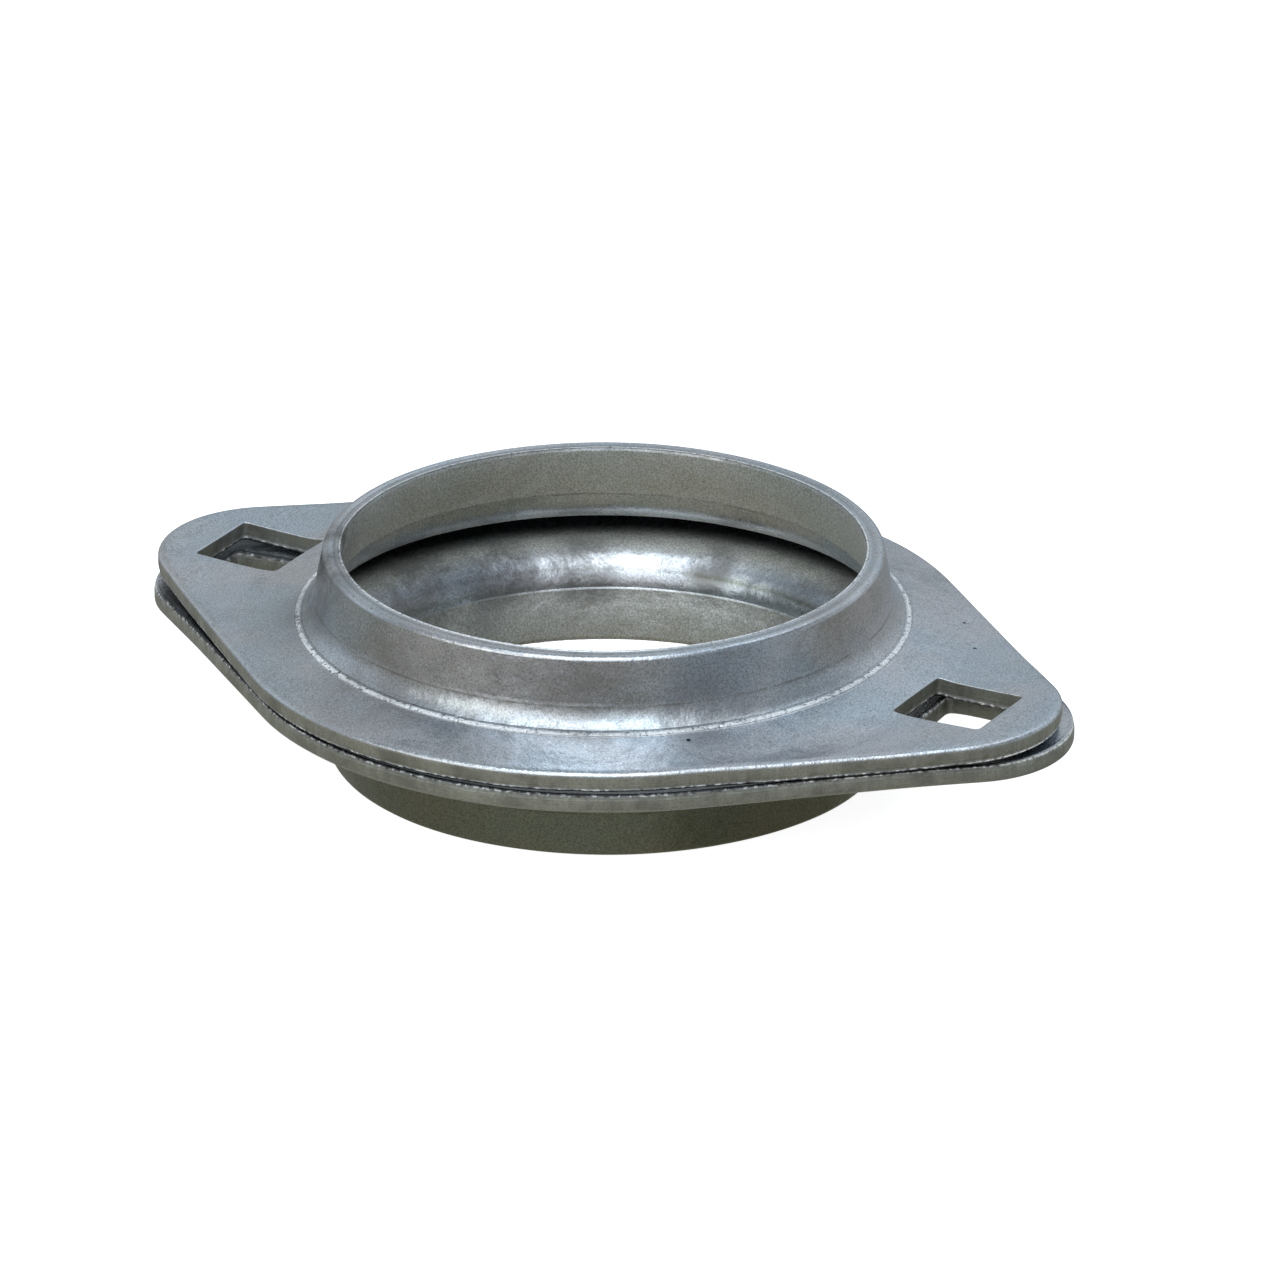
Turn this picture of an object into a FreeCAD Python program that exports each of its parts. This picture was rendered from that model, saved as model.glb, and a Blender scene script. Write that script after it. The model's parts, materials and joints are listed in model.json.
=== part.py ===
import FreeCAD, Part
import math
import os

# Empty two-bolt housing for a spherical-outside insert bearing, pressed from sheet steel.
# It is two equal pressings, called flangettes. The lower one is the upper one turned over.
# Millimetres. +X along the bolt line, +Z along the shaft, out of the upper collar.
# Origin: on the shaft axis, half-way between the two mating faces.

# ---- driving dimensions ----
BOLT_SPACING = 76.0        # centre to centre of the two square holes
LENGTH = 95.0              # over both ears
WIDTH = 70.0               # across the round middle
EAR_RADIUS = 11.5          # end radius of an ear
SHEET = 1.9                # sheet thickness
SQUARE_HOLE = 9.0          # side of a square hole, for the square neck of an M8 carriage bolt
HOLE_CORNER = 0.7          # corner radius of a square hole

SEAT_SPHERE_R = 26.0       # the insert's outer ring is a 52 mm sphere
SEAT_TO_Z = 6.3            # the spherical seat ends at this height above the mating face
COLLAR_HEIGHT = 10.0       # mating face to the end of the collar
RIM_INNER_R = 24.8
RIM_OUTER_R = 26.6
RIM_EDGE = 0.35            # rounding of the collar's outer end edge

ROOT_CREASE_R = 29.0       # crease that the die leaves where the collar rises from the flange
ROOT_CREASE_Z = 3.1        # its height above the mating face
CREASE_BREAK = 14.0        # degrees between the two faces that meet at the crease
NECK_LEAN = 9.5            # degrees that the outside of the collar leans in
DISH_R = 36.0              # the flange is flat outside this radius and dished up inside it
DISH_BEND_R = 15.0         # radius of that dish's foot, on the outward face

EAR_LIFT_SLOPE = 0.035     # each ear springs away from the mating plane by this slope
EAR_BEND_R = 90.0
DIE_ROLL = 0.45            # rounding that the blanking die leaves on the outward edge

BURR_GAP = 0.15            # the burrs keep the two mating faces this far apart
HALF_TURN = 1.3            # the loose halves lie turned this far from true, in degrees, one each way
HALF_SHIFT = 0.25          # and this far from true along X, one each way

# ---- helpers ----
EAR_CENTRE = LENGTH / 2.0 - EAR_RADIUS
TALL = 40.0                # comfortably more than any height of the pressing
NEAR = 0.1                 # slack when edges are chosen by their place
TOP_SPREAD = 1.0           # the outline's top edge stays within this height above the flat sheet


def vec(r, z):
    """A point of the turned section, as a vector in the XZ plane."""
    return FreeCAD.Vector(r, 0, z)


def along(angle):
    """Unit vector in the section at an angle in degrees above the outward radius."""
    return vec(math.cos(math.radians(angle)), math.sin(math.radians(angle)))


def line(a, b):
    return Part.LineSegment(a, b).toShape()


def arc_about(centre, radius, a_deg, b_deg):
    """Arc edge about a centre, from one angle to another."""
    middle = 0.5 * (a_deg + b_deg)
    points = [centre + along(a) * radius for a in (a_deg, middle, b_deg)]
    return Part.Arc(*points).toShape()


def tangent_arc(start, heading, end):
    """Arc that leaves start along heading and reaches end."""
    normal = vec(-heading.z, heading.x)
    chord = end - start
    radius = chord.dot(chord) / (2.0 * chord.dot(normal))
    centre = start + normal * radius
    halfway = (start + end) * 0.5 - centre
    halfway.normalize()
    return Part.Arc(start, centre + halfway * abs(radius), end).toShape()


def end_point(edge):
    return edge.Vertexes[-1].Point


def dish_angle():
    """Slope in degrees of the line that leaves the crease and touches the dish's foot."""
    outward = DISH_R - ROOT_CREASE_R
    upward = SHEET + DISH_BEND_R - ROOT_CREASE_Z
    to_centre = math.hypot(outward, upward)
    return math.degrees(math.asin(DISH_BEND_R / to_centre) - math.atan2(upward, outward))


def entry_angle(slope, radius):
    """Angle, seen from the origin, of the centre of the entry bend.

    The bend lies outside the seat's sphere and touches it, and it touches the dish's under side.
    """
    across = along(90.0 - slope)
    level = vec(ROOT_CREASE_R, ROOT_CREASE_Z).dot(across) - SHEET + radius
    return 90.0 - slope - math.degrees(math.acos(level / (SEAT_SPHERE_R + radius)))


def turned_middle():
    """Collar and dished part of the flange: one closed section turned about the shaft axis."""
    slope = dish_angle()
    dish_centre = vec(DISH_R, SHEET + DISH_BEND_R)
    crease = vec(ROOT_CREASE_R, ROOT_CREASE_Z)

    # Outside of the collar: a leaning neck, and a fillet from it to the crease.
    rim_corner = vec(RIM_OUTER_R, COLLAR_HEIGHT)
    neck_out = along(NECK_LEAN)
    fillet_start = along(90.0 - slope - CREASE_BREAK)
    gap = (crease - rim_corner).dot(neck_out)
    fillet_r = gap / (1.0 - fillet_start.dot(neck_out))
    fillet_centre = crease + fillet_start * fillet_r
    neck_angle = NECK_LEAN - 180.0
    crease_angle = -90.0 - slope - CREASE_BREAK

    # Inside of the bend: the entry that leads the insert into its seat.
    entry_r = fillet_r + SHEET
    seat_angle = entry_angle(slope, entry_r)
    entry_centre = along(seat_angle) * (SEAT_SPHERE_R + entry_r)
    seat_end_angle = math.degrees(math.asin(SEAT_TO_Z / SEAT_SPHERE_R))

    under_dish = arc_about(dish_centre, DISH_BEND_R + SHEET, -90.0, -90.0 - slope)
    entry = arc_about(entry_centre, entry_r, -90.0 - slope, seat_angle - 180.0)
    under_line = line(end_point(under_dish), entry.Vertexes[0].Point)
    seat = arc_about(vec(0, 0), SEAT_SPHERE_R, seat_angle, seat_end_angle)
    rim_inner = vec(RIM_INNER_R, COLLAR_HEIGHT)
    lip = tangent_arc(end_point(seat), along(90.0 + seat_end_angle), rim_inner)
    rim_flat_end = vec(RIM_OUTER_R - RIM_EDGE, COLLAR_HEIGHT)
    rim_face = line(rim_inner, rim_flat_end)
    neck_top = rim_corner - along(90.0 + NECK_LEAN) * RIM_EDGE
    rim_edge = tangent_arc(rim_flat_end, vec(1, 0), neck_top)
    fillet = arc_about(fillet_centre, fillet_r, neck_angle, crease_angle)
    neck = line(end_point(rim_edge), fillet.Vertexes[0].Point)
    dish = arc_about(dish_centre, DISH_BEND_R, -90.0 - slope, -90.0)
    dish_line = line(crease, dish.Vertexes[0].Point)
    outer_end = line(vec(DISH_R, SHEET), vec(DISH_R, 0))

    edges = [under_dish, under_line, entry, seat, lip, rim_face, rim_edge, neck, fillet]
    edges += [dish_line, dish, outer_end]
    section = Part.Face(Part.Wire(Part.__sortEdges__(edges)))
    print("dish slope %.2f deg, fillet R%.2f, entry R%.2f, seat from z %.2f"
          % (slope, fillet_r, entry_r, SEAT_SPHERE_R * math.sin(math.radians(seat_angle))))
    return section.revolve(FreeCAD.Vector(0, 0, 0), FreeCAD.Vector(0, 0, 1), 360)


def outline_prism():
    """Plan outline as a tall prism: the round middle, two ears, and their four common tangents."""
    lean = math.acos((WIDTH / 2.0 - EAR_RADIUS) / EAR_CENTRE)
    corners = []
    for quadrant in (lean, math.pi - lean, math.pi + lean, -lean):
        direction = FreeCAD.Vector(math.cos(quadrant), math.sin(quadrant), 0)
        side = EAR_CENTRE if direction.x > 0 else -EAR_CENTRE
        corners.append((direction * (WIDTH / 2.0), FreeCAD.Vector(side, 0, 0) + direction * EAR_RADIUS))
    (m1, e1), (m2, e2), (m3, e3), (m4, e4) = corners
    half_length = FreeCAD.Vector(LENGTH / 2.0, 0, 0)
    half_width = FreeCAD.Vector(0, WIDTH / 2.0, 0)
    edges = [Part.Arc(m1, half_width, m2).toShape(), line(m2, e2)]
    edges += [Part.Arc(e2, -half_length, e3).toShape(), line(e3, m3)]
    edges += [Part.Arc(m3, -half_width, m4).toShape(), line(m4, e4)]
    edges += [Part.Arc(e4, half_length, e1).toShape(), line(e1, m1)]
    face = Part.Face(Part.Wire(Part.__sortEdges__(edges)))
    face.translate(FreeCAD.Vector(0, 0, -TALL / 2.0))
    return face.extrude(FreeCAD.Vector(0, 0, TALL))


def lifted_strip():
    """The flange as a strip across the whole width, flat in the middle and lifted at both ears."""
    angle = math.degrees(math.atan(EAR_LIFT_SLOPE))
    reach = LENGTH
    lower, upper = [], []
    for offset, edges in ((0.0, lower), (SHEET, upper)):
        centre = vec(DISH_R, EAR_BEND_R)
        bend = arc_about(centre, EAR_BEND_R - offset, -90.0, -90.0 + angle)
        tip = end_point(bend) + along(angle) * reach
        edges += [line(vec(0, offset), vec(DISH_R, offset)), bend, line(end_point(bend), tip)]
    ends = [line(vec(0, 0), vec(0, SHEET)), line(end_point(lower[-1]), end_point(upper[-1]))]
    face = Part.Face(Part.Wire(Part.__sortEdges__(lower + upper + ends)))
    face.translate(FreeCAD.Vector(0, -WIDTH, 0))
    half = face.extrude(FreeCAD.Vector(0, 2 * WIDTH, 0))
    other = half.copy()
    other.rotate(FreeCAD.Vector(0, 0, 0), FreeCAD.Vector(0, 0, 1), 180)
    return half.fuse(other)


def square_hole(x):
    """Tall prism of one square bolt hole, with rounded corners."""
    box = Part.makeBox(SQUARE_HOLE, SQUARE_HOLE, TALL)
    box.translate(FreeCAD.Vector(x - SQUARE_HOLE / 2.0, -SQUARE_HOLE / 2.0, -TALL / 2.0))
    upright = [edge for edge in box.Edges if abs(edge.tangentAt(edge.FirstParameter).z) > 0.9]
    return box.makeFillet(HOLE_CORNER, upright)


def outward_rim_edges(shape):
    """Edges of the blank's outline on its outward side: level ones with an upright wall beside them."""
    chosen = []
    for edge in shape.Edges:
        halfway = 0.5 * (edge.FirstParameter + edge.LastParameter)
        middle = edge.valueAt(halfway)
        outside = math.hypot(middle.x, middle.y) > WIDTH / 2.0 - NEAR
        on_top = SHEET - NEAR < middle.z < SHEET + TOP_SPREAD
        level = abs(edge.tangentAt(halfway).z) < 0.5
        faces = shape.ancestorsOfType(edge, Part.Face)
        wall = any(abs(face.normalAt(*face.Surface.parameter(middle)).z) < 0.1 for face in faces)
        if outside and on_top and level and wall:
            chosen.append(edge)
    return chosen


def flangette():
    """One pressing, mating face at Z = 0 and collar up."""
    blank = outline_prism()
    core = Part.makeCylinder(DISH_R, TALL, FreeCAD.Vector(0, 0, -TALL / 2.0))
    ears = lifted_strip().common(blank).cut(core)
    middle = turned_middle().common(blank)
    shape = middle.fuse(ears).removeSplitter()
    shape = shape.makeFillet(DIE_ROLL, outward_rim_edges(shape))
    for side in (-1, 1):
        shape = shape.cut(square_hole(side * BOLT_SPACING / 2.0))
    return shape.Solids[0]


def place(shape, turn, shift, lift):
    moved = shape.copy()
    moved.rotate(FreeCAD.Vector(0, 0, 0), FreeCAD.Vector(0, 0, 1), turn)
    moved.translate(FreeCAD.Vector(shift, 0, lift))
    return moved


def upper_flangette(pressing):
    return place(pressing, -HALF_TURN, -HALF_SHIFT, BURR_GAP / 2.0)


def lower_flangette(pressing):
    turned_over = pressing.copy()
    turned_over.rotate(FreeCAD.Vector(0, 0, 0), FreeCAD.Vector(0, 1, 0), 180)
    return place(turned_over, HALF_TURN, HALF_SHIFT, -BURR_GAP / 2.0)


os.makedirs("parts", exist_ok=True)
one_pressing = flangette()
nodes = {"upper_flangette": upper_flangette(one_pressing),
         "lower_flangette": lower_flangette(one_pressing)}
for name, shape in nodes.items():
    shape.exportStep("parts/" + name + ".step")
    box = shape.optimalBoundingBox()
    print("%s valid %s, volume %.0f mm3, box %.2f x %.2f x %.2f"
          % (name, shape.isValid(), shape.Volume, box.XLength, box.YLength, box.ZLength))
common = nodes["upper_flangette"].common(nodes["lower_flangette"]).Volume
print("overlap of the two halves %.4f mm3" % common)
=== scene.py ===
# %% [markdown]
# # An empty two-bolt pressed steel bearing housing
#
# The object is two equal pressings of zinc-plated sheet steel, lying loosely on each other, mouth to
# mouth. Each has a flat flange with two square bolt holes and a collar in which a spherical insert
# bearing will sit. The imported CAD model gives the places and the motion. This script builds the two
# pressings again as smooth surfaces with the marks that the press tools leave, gives them their
# finish, and sets them on a pale floor under soft light.

# %% Load the fixed frame
import json
import math

import bmesh
import bpy
import numpy as np
from mathutils import Matrix, Vector


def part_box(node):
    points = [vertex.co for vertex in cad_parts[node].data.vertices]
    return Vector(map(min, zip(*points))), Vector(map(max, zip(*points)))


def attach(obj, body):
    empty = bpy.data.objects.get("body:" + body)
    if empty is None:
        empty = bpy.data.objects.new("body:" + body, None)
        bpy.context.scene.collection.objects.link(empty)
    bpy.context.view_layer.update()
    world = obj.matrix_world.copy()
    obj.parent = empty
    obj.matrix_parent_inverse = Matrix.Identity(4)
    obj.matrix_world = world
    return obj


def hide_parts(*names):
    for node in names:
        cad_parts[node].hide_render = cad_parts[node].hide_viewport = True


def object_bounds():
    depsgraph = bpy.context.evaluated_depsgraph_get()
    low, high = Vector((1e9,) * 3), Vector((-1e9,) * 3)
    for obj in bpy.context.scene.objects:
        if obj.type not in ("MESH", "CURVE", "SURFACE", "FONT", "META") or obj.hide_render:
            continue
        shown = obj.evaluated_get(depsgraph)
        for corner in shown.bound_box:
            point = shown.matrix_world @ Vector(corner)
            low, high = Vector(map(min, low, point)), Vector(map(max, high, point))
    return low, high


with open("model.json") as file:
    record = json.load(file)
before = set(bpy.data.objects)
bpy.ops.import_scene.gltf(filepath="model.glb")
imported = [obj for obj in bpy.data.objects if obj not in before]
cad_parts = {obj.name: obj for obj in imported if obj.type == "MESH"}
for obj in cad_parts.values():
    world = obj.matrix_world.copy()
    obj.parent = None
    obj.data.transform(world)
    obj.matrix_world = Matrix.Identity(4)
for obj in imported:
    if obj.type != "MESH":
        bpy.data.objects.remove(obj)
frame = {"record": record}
cad_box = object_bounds()
MM = 0.001                          # the frame is in metres
print("CAD box in mm:", [[round(v / MM, 2) for v in corner] for corner in cad_box])

# %% [markdown]
# ## Sizes
#
# A pressing is easiest to work out in millimetres, in its own frame: mating face at height 0 and
# collar up. The frame's box gives the collar's height, the gap that the burrs keep between the halves
# and how far each half lies off centre. The rest are the sheet's own sizes.

# %% Driving sizes of one pressing, in millimetres
upper_low, upper_high = (Vector(corner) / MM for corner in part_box("upper_flangette"))
HALF_GAP = upper_low.z              # from the middle plane to a half's mating face
COLLAR_HEIGHT = upper_high.z - upper_low.z
HALF_WIDTH = 0.5 * (upper_high.y - upper_low.y)
HALF_SHIFT = -0.5 * (upper_low.x + upper_high.x)
HALF_TURN = math.radians(1.3)       # each half lies shifted and turned this far from true

SHEET = 1.9                         # thickness
EAR_RADIUS = 11.5                   # round end of an ear, about a centre on the bolt line
EAR_CENTRE = 36.0
bolt_hole = next(m for m in frame["record"]["mounts"] if m["name"] == "bolt_hole_right")
HOLE_CENTRE = bolt_hole["pos_m"][0] / MM
HOLE_HALF = 4.5                     # half a side of a square hole
HOLE_CORNER = 0.45                  # radius of its corners
SEAT_SPHERE_R = 26.0                # the insert's seat is a band of this sphere
SEAT_TO_Z = 6.3                     # height at which the seat ends
RIM_INNER_R = 24.8
RIM_OUTER_R = 26.6
CREASE = np.array([29.0, 3.1])      # radius and height of the crease at the collar's root
CREASE_BREAK = 14.0                 # degrees between the two faces that meet there
NECK_LEAN = 9.5                     # degrees that the outside of the collar leans in
DISH_R = 36.0                       # the flange is flat outside this radius and dished up inside it
DISH_BEND_R = 15.0                  # bend at the dish's foot, on the outward face
EAR_LIFT_SLOPE = 0.035              # the ears spring away from the mating plane by this slope
EAR_BEND_R = 90.0                   # bend where that slope starts
print("collar %.2f high, gap %.3f each side, shift %.2f, half width %.2f"
      % (COLLAR_HEIGHT, HALF_GAP, HALF_SHIFT, HALF_WIDTH))

# %% [markdown]
# ## The turned section
#
# The collar and the dished ring round it are turned shapes. Their section is a few arcs and lines that
# touch each other, so every centre follows from the driving sizes by plane geometry: a tangent from a
# point to a circle, or a circle that touches a line and another circle.

# %% Arcs and centres of the section
def along(angle):
    """Unit vector at an angle in degrees above the outward radius: (cos, sin)."""
    return np.array([math.cos(math.radians(angle)), math.sin(math.radians(angle))])


def arc(centre, radius, start, end, count):
    """Points centre + radius * (cos a, sin a), with a running from start to end degrees."""
    a = np.radians(np.linspace(start, end, count))
    return np.column_stack([centre[0] + radius * np.cos(a), centre[1] + radius * np.sin(a)])


def straight(start, end, count):
    """Points start + t * (end - start), with t running from 0 to 1."""
    t = np.linspace(0, 1, count)[:, None]
    return start + t * (np.asarray(end) - start)


def tangent_arc(start, heading, end, count):
    """Arc that leaves start along heading and reaches end. Its radius is chord^2 / (2 chord . normal)."""
    start, end = np.asarray(start), np.asarray(end)
    normal = np.array([-heading[1], heading[0]])
    chord = end - start
    radius = chord @ chord / (2 * chord @ normal)
    centre = start + radius * normal
    first, last = start - centre, end - centre
    a0 = math.degrees(math.atan2(first[1], first[0]))
    turn = math.degrees(math.atan2(first[0] * last[1] - first[1] * last[0], first @ last))
    return arc(centre, abs(radius), a0, a0 + turn, count)


dish_centre = np.array([DISH_R, SHEET + DISH_BEND_R])
to_centre = dish_centre - CREASE
tangent_turn = math.degrees(math.asin(DISH_BEND_R / np.linalg.norm(to_centre)))
DISH_SLOPE = tangent_turn - math.degrees(math.atan2(to_centre[1], to_centre[0]))

neck_out = along(NECK_LEAN)
fillet_in = along(90 - DISH_SLOPE - CREASE_BREAK)
rim_corner = np.array([RIM_OUTER_R, COLLAR_HEIGHT])
FILLET_R = (CREASE - rim_corner) @ neck_out / (1 - fillet_in @ neck_out)

ENTRY_R = FILLET_R + SHEET
under_up = along(90 - DISH_SLOPE)
reach = (ENTRY_R - SHEET + CREASE @ under_up) / (SEAT_SPHERE_R + ENTRY_R)
SEAT_ANGLE = 90 - DISH_SLOPE - math.degrees(math.acos(reach))
entry_centre = (SEAT_SPHERE_R + ENTRY_R) * along(SEAT_ANGLE)
SEAT_END_ANGLE = math.degrees(math.asin(SEAT_TO_Z / SEAT_SPHERE_R))
print("dish slope %.2f deg, fillet R%.2f, entry R%.2f, seat from %.2f to %.2f deg"
      % (DISH_SLOPE, FILLET_R, ENTRY_R, SEAT_ANGLE, SEAT_END_ANGLE))

# %% [markdown]
# ## The flange as two height fields
#
# Away from the collar the sheet is a plate of even thickness. Its height over a plan point is the dish
# near the collar plus the lift of the ears, which spring a little away from the mating face. A height
# field is the simplest form for that, because every block of the flange can then be laid out in plan.

# %% Heights of the two faces of the flange
def dish_height(r, on_top):
    """Height of the dish at radius r: an arc about the dish's centre, then a line up its slope."""
    radius = DISH_BEND_R + (0 if on_top else SHEET)
    slope = math.radians(DISH_SLOPE)
    out = np.maximum(DISH_R - r, 0)
    bend = dish_centre[1] - np.sqrt(radius**2 - np.minimum(out, radius * math.sin(slope)) ** 2)
    beyond = np.maximum(out - radius * math.sin(slope), 0) * math.tan(slope)
    return bend + beyond


def ear_lift(x):
    """Lift of an ear at x: a parabola with the bend's radius, then a line of constant slope."""
    out = np.maximum(np.abs(x) - DISH_R, 0)
    bend = EAR_LIFT_SLOPE * EAR_BEND_R
    return np.where(out < bend, out**2 / (2 * EAR_BEND_R), EAR_LIFT_SLOPE * (out - 0.5 * bend))


def plate_points(x, y, level):
    """Points of the plate at a level from 0, the mating face, to 1, the outward face."""
    r = np.hypot(x, y)
    under, top = dish_height(r, False), dish_height(r, True)
    return np.stack([x, y, under + level * (top - under) + ear_lift(x)], axis=-1)


print("flange is %.2f mm thick at radius 33, ear tip lifts %.2f mm"
      % (dish_height(33.0, True) - dish_height(33.0, False), ear_lift(EAR_CENTRE + EAR_RADIUS)))

# %% [markdown]
# ## Plan blocks
#
# The plate is split into blocks that are each a plain grid: a ring round the collar, a band at the
# front and back between the ring and the outline, and at each ear a grid that runs from the square
# hole out to the outline. Neighbouring blocks share their edge points, so they can be welded.

# %% Outline, square hole and grids in plan
ROUND_STEPS = 400
RING_R = 31.5                       # the turned section reaches out to this ring
EAR_STEPS = 30                      # steps of the ring on each side of an ear's middle line
EAR_ANGLE = EAR_STEPS * 2 * math.pi / ROUND_STEPS
BAND_ANGLES = np.linspace(EAR_ANGLE, math.pi - EAR_ANGLE, ROUND_STEPS // 2 - 2 * EAR_STEPS + 1)
TANGENT_ANGLE = math.acos((HALF_WIDTH - EAR_RADIUS) / EAR_CENTRE)


def band_outline(angle, inset):
    """Outline in polar form from the shaft axis: a circle, then its tangent line to the ear's end."""
    from_side = np.abs(angle - math.pi / 2) - (math.pi / 2 - TANGENT_ANGLE)
    r = (HALF_WIDTH - inset) / np.cos(np.maximum(from_side, 0))
    return np.stack([r * np.cos(angle), r * np.sin(angle)], axis=-1)


def ear_outline(inset, line_steps=36, end_steps=60):
    """Outline round the right ear, inset by a distance: tangent line, end arc, tangent line."""
    a = np.linspace(-TANGENT_ANGLE, TANGENT_ANGLE, end_steps + 1)
    end = np.stack([EAR_CENTRE + (EAR_RADIUS - inset) * np.cos(a), (EAR_RADIUS - inset) * np.sin(a)], -1)
    upper = straight(end[-1], band_outline(np.array([EAR_ANGLE]), inset)[0], line_steps + 1)
    lower = upper[::-1] * [1, -1]
    return np.vstack([lower[:-1], end, upper[1:]])


def ear_border(inset, spacing):
    """Closed border of the ear's grid: out along one ray, round the outline, back in, along the ring."""
    ring_angles = np.linspace(EAR_ANGLE, -EAR_ANGLE, 2 * EAR_STEPS + 1)
    ring = RING_R * np.stack([np.cos(ring_angles), np.sin(ring_angles)], -1)
    outline = ear_outline(inset)
    ray_out = ring[-1] + spacing[:, None] * (outline[0] - ring[-1])
    ray_in = outline[-1] + (1 - spacing[::-1, None]) * (ring[0] - outline[-1])
    return np.vstack([ray_out[:-1], outline[:-1], ray_in[:-1], ring[:-1]])


def hole_point(direction, offset):
    """Point of the rounded square on a ray from its centre, moved outwards by offset.

    On a flat side the ray's length is half the side over the larger of |cos| and |sin|. At a corner
    it is the far root of the corner circle's quadratic."""
    half, corner = HOLE_HALF + offset, HOLE_CORNER + offset
    size = np.abs(direction)
    long_way, short_way = size.max(-1), size.min(-1)
    flat = half / long_way
    b = (half - corner) * (long_way + short_way)
    rounded = b + np.sqrt(np.maximum(b**2 - 2 * (half - corner) ** 2 + corner**2, 0))
    length = np.where(flat * short_way <= half - corner, flat, rounded)
    return [HOLE_CENTRE, 0] + length[..., None] * direction


# Where the rows of a grid lie, from its inner side at 0 to its outer side at 1.
ROWS = np.array([0, 0.3, 0.6, 0.8, 0.93, 1.0])
HOLE_ROWS = np.array([0, 0.03, 0.08, 0.16, 0.26, 0.38, 0.5, 0.62, 0.74, 0.85, 0.93, 0.98, 1.0])
border = ear_border(0, ROWS)
hole_rays = border - [HOLE_CENTRE, 0]
hole_rays = hole_rays / np.linalg.norm(hole_rays, axis=-1, keepdims=True)
print("an ear's grid has %d columns, %d rows" % (len(border), len(HOLE_ROWS)))

# %% [markdown]
# ## What the blanking die leaves
#
# A blanked edge is never a plain square wall. The outward face rolls over at the edge, then comes a
# smooth burnished band, then a rough torn band that leans in a little, and a fine burr stands on the
# mating side. Those lines catch the light all round the part, so the edge gets its own profile, carried
# along the outline and round both holes. Each row also carries five marks for the finish: how much it is
# cut metal, torn, painted with a glint or highlight, matte where the sheet was stretched, or painted with
# shade, which darkens the gap between the halves and the holes' walls.

# %% Profile of a blanked edge: inset and level, with its marks
# bright is a painted highlight and glint; grime is painted shade in the gap, the holes and under the dish
MARKS = ("cut", "torn", "bright", "matte", "grime")
SAG_REACH, SAG_DEPTH = 1.8, 0.25    # of the sheet's sag beside the roll, as shares of the roll's width
BURNISHED = 0.38                    # share of the thickness that is burnished
# each torn row: inset, share of the height left, painted glint, and painted shade of the gap between the
# halves
TORN_ROWS = ((0.02, 0.88, 0, 0), (0.045, 0.62, 0, 0), (0.075, 0.40, 0.5, 0.4),
             (0.12, 0.22, 0.8, 0.85), (0.19, 0.08, 0.5, 1))
BURR_INSETS, BURR_END = (0.26, 0.36), 0.5       # the burr's crest, and where it runs out


def edge_row(inset, level, cut=0.0, torn=0.0, bright=0.0, grime=0.0):
    """One row of the edge's profile: inset in mm, level from 0 to 1, and its marks, never matte."""
    return [inset, level, cut, torn, bright, 0.0, grime]


def blanked_edge(roll_in, roll_down, burr):
    """Rows from the outward face round to the mating face.

    The roll is a quarter ellipse: inset = roll_in (1 - sin t), drop = roll_down (1 - cos t). A shallow
    parabola, the sheet sagging towards the die, leads into it and adds to the drop. The rolled rows carry
    a painted highlight, strongest halfway round. Each torn row is an inset, a share of the height that is
    left, and how much painted glint and painted shade it carries."""
    def sag(inset):
        return SAG_DEPTH * roll_in * (1 - inset / (SAG_REACH * roll_in)) ** 2

    rows = [edge_row(k * roll_in, 1 - sag(k * roll_in) / SHEET) for k in (SAG_REACH, 1.6, 1.4, 1.2)]
    for t in np.radians([0, 10, 20, 30, 40, 50, 60, 72, 90]):
        inset = roll_in * (1 - math.sin(t))
        drop = roll_down * (1 - math.cos(t)) + sag(inset)
        newly_cut = 6 * max(0, math.sin(t) - 0.85)
        # the rolled edge gets a painted highlight, strongest halfway round the roll
        rows.append(edge_row(inset, 1 - drop / SHEET, cut=newly_cut, bright=0.34 * math.sin(2 * t)))
    burnished_from = rows[-1][1]
    torn_from = burnished_from - BURNISHED
    rows += [edge_row(0, level, cut=1) for level in np.linspace(burnished_from, torn_from, 5)[1:]]
    rows += [edge_row(inset, torn_from * share, cut=1, torn=1, bright=glint_share, grime=shade_share)
             for inset, share, glint_share, shade_share in TORN_ROWS]
    foot = -burr / SHEET
    # the burr's rows lie in the gap between the halves and get painted shade
    rows += [edge_row(inset, foot, grime=1) for inset in BURR_INSETS]
    rows.append(edge_row(BURR_END, 0, grime=0.5))
    return np.array(rows, dtype=float)


outline_edge = blanked_edge(roll_in=0.50, roll_down=0.35, burr=0.03)
outline_edge[:, 0] += 0.004                     # keeps the finished edge just inside the design
hole_edge = blanked_edge(roll_in=0.13, roll_down=0.12, burr=0.03)
cut_column, shade_column = (2 + MARKS.index(mark) for mark in ("cut", "grime"))
hole_wall_shade = 0.35 * hole_edge[:, cut_column]  # painted shade on the holes' walls, in step with the cut
hole_edge[:, shade_column] = np.maximum(hole_edge[:, shade_column], hole_wall_shade)
print("edge profile has", len(outline_edge), "rows")

# %% [markdown]
# ## The collar's section, point by point
#
# Three things on the collar are finer than the arcs that it is drawn with: the bead that the die presses
# up at the root, the worn outer edge of the rim, and the burr at the rim's inner edge. Each is a handful
# of rows between two arcs, because light lines as narrow as these need real shape to look right from
# every side. The bead, the rim's edge and the burr also carry a painted glint or highlight. The fillet
# below the neck is written as a rational curve, so that it can be cut anywhere where the bead begins.

# %% Fillet and root bead
FILLET_TURN = math.radians(90 - NECK_LEAN - DISH_SLOPE - CREASE_BREAK)
BEAD_HEIGHT = 0.13
BEAD_OUTSIDE, BEAD_INSIDE = 0.15, 0.27          # how far the bead reaches on either side
GLINT_MIDDLE, GLINT_REACH = -0.07, 0.31       # middle and reach of its painted glint line, from the crease
BEAD_STEPS = np.array([0.7, 0.58, 0.48, 0.4, 0.34, 0.28, 0.22, 0.17, 0.12, 0.06, 0])


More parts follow.
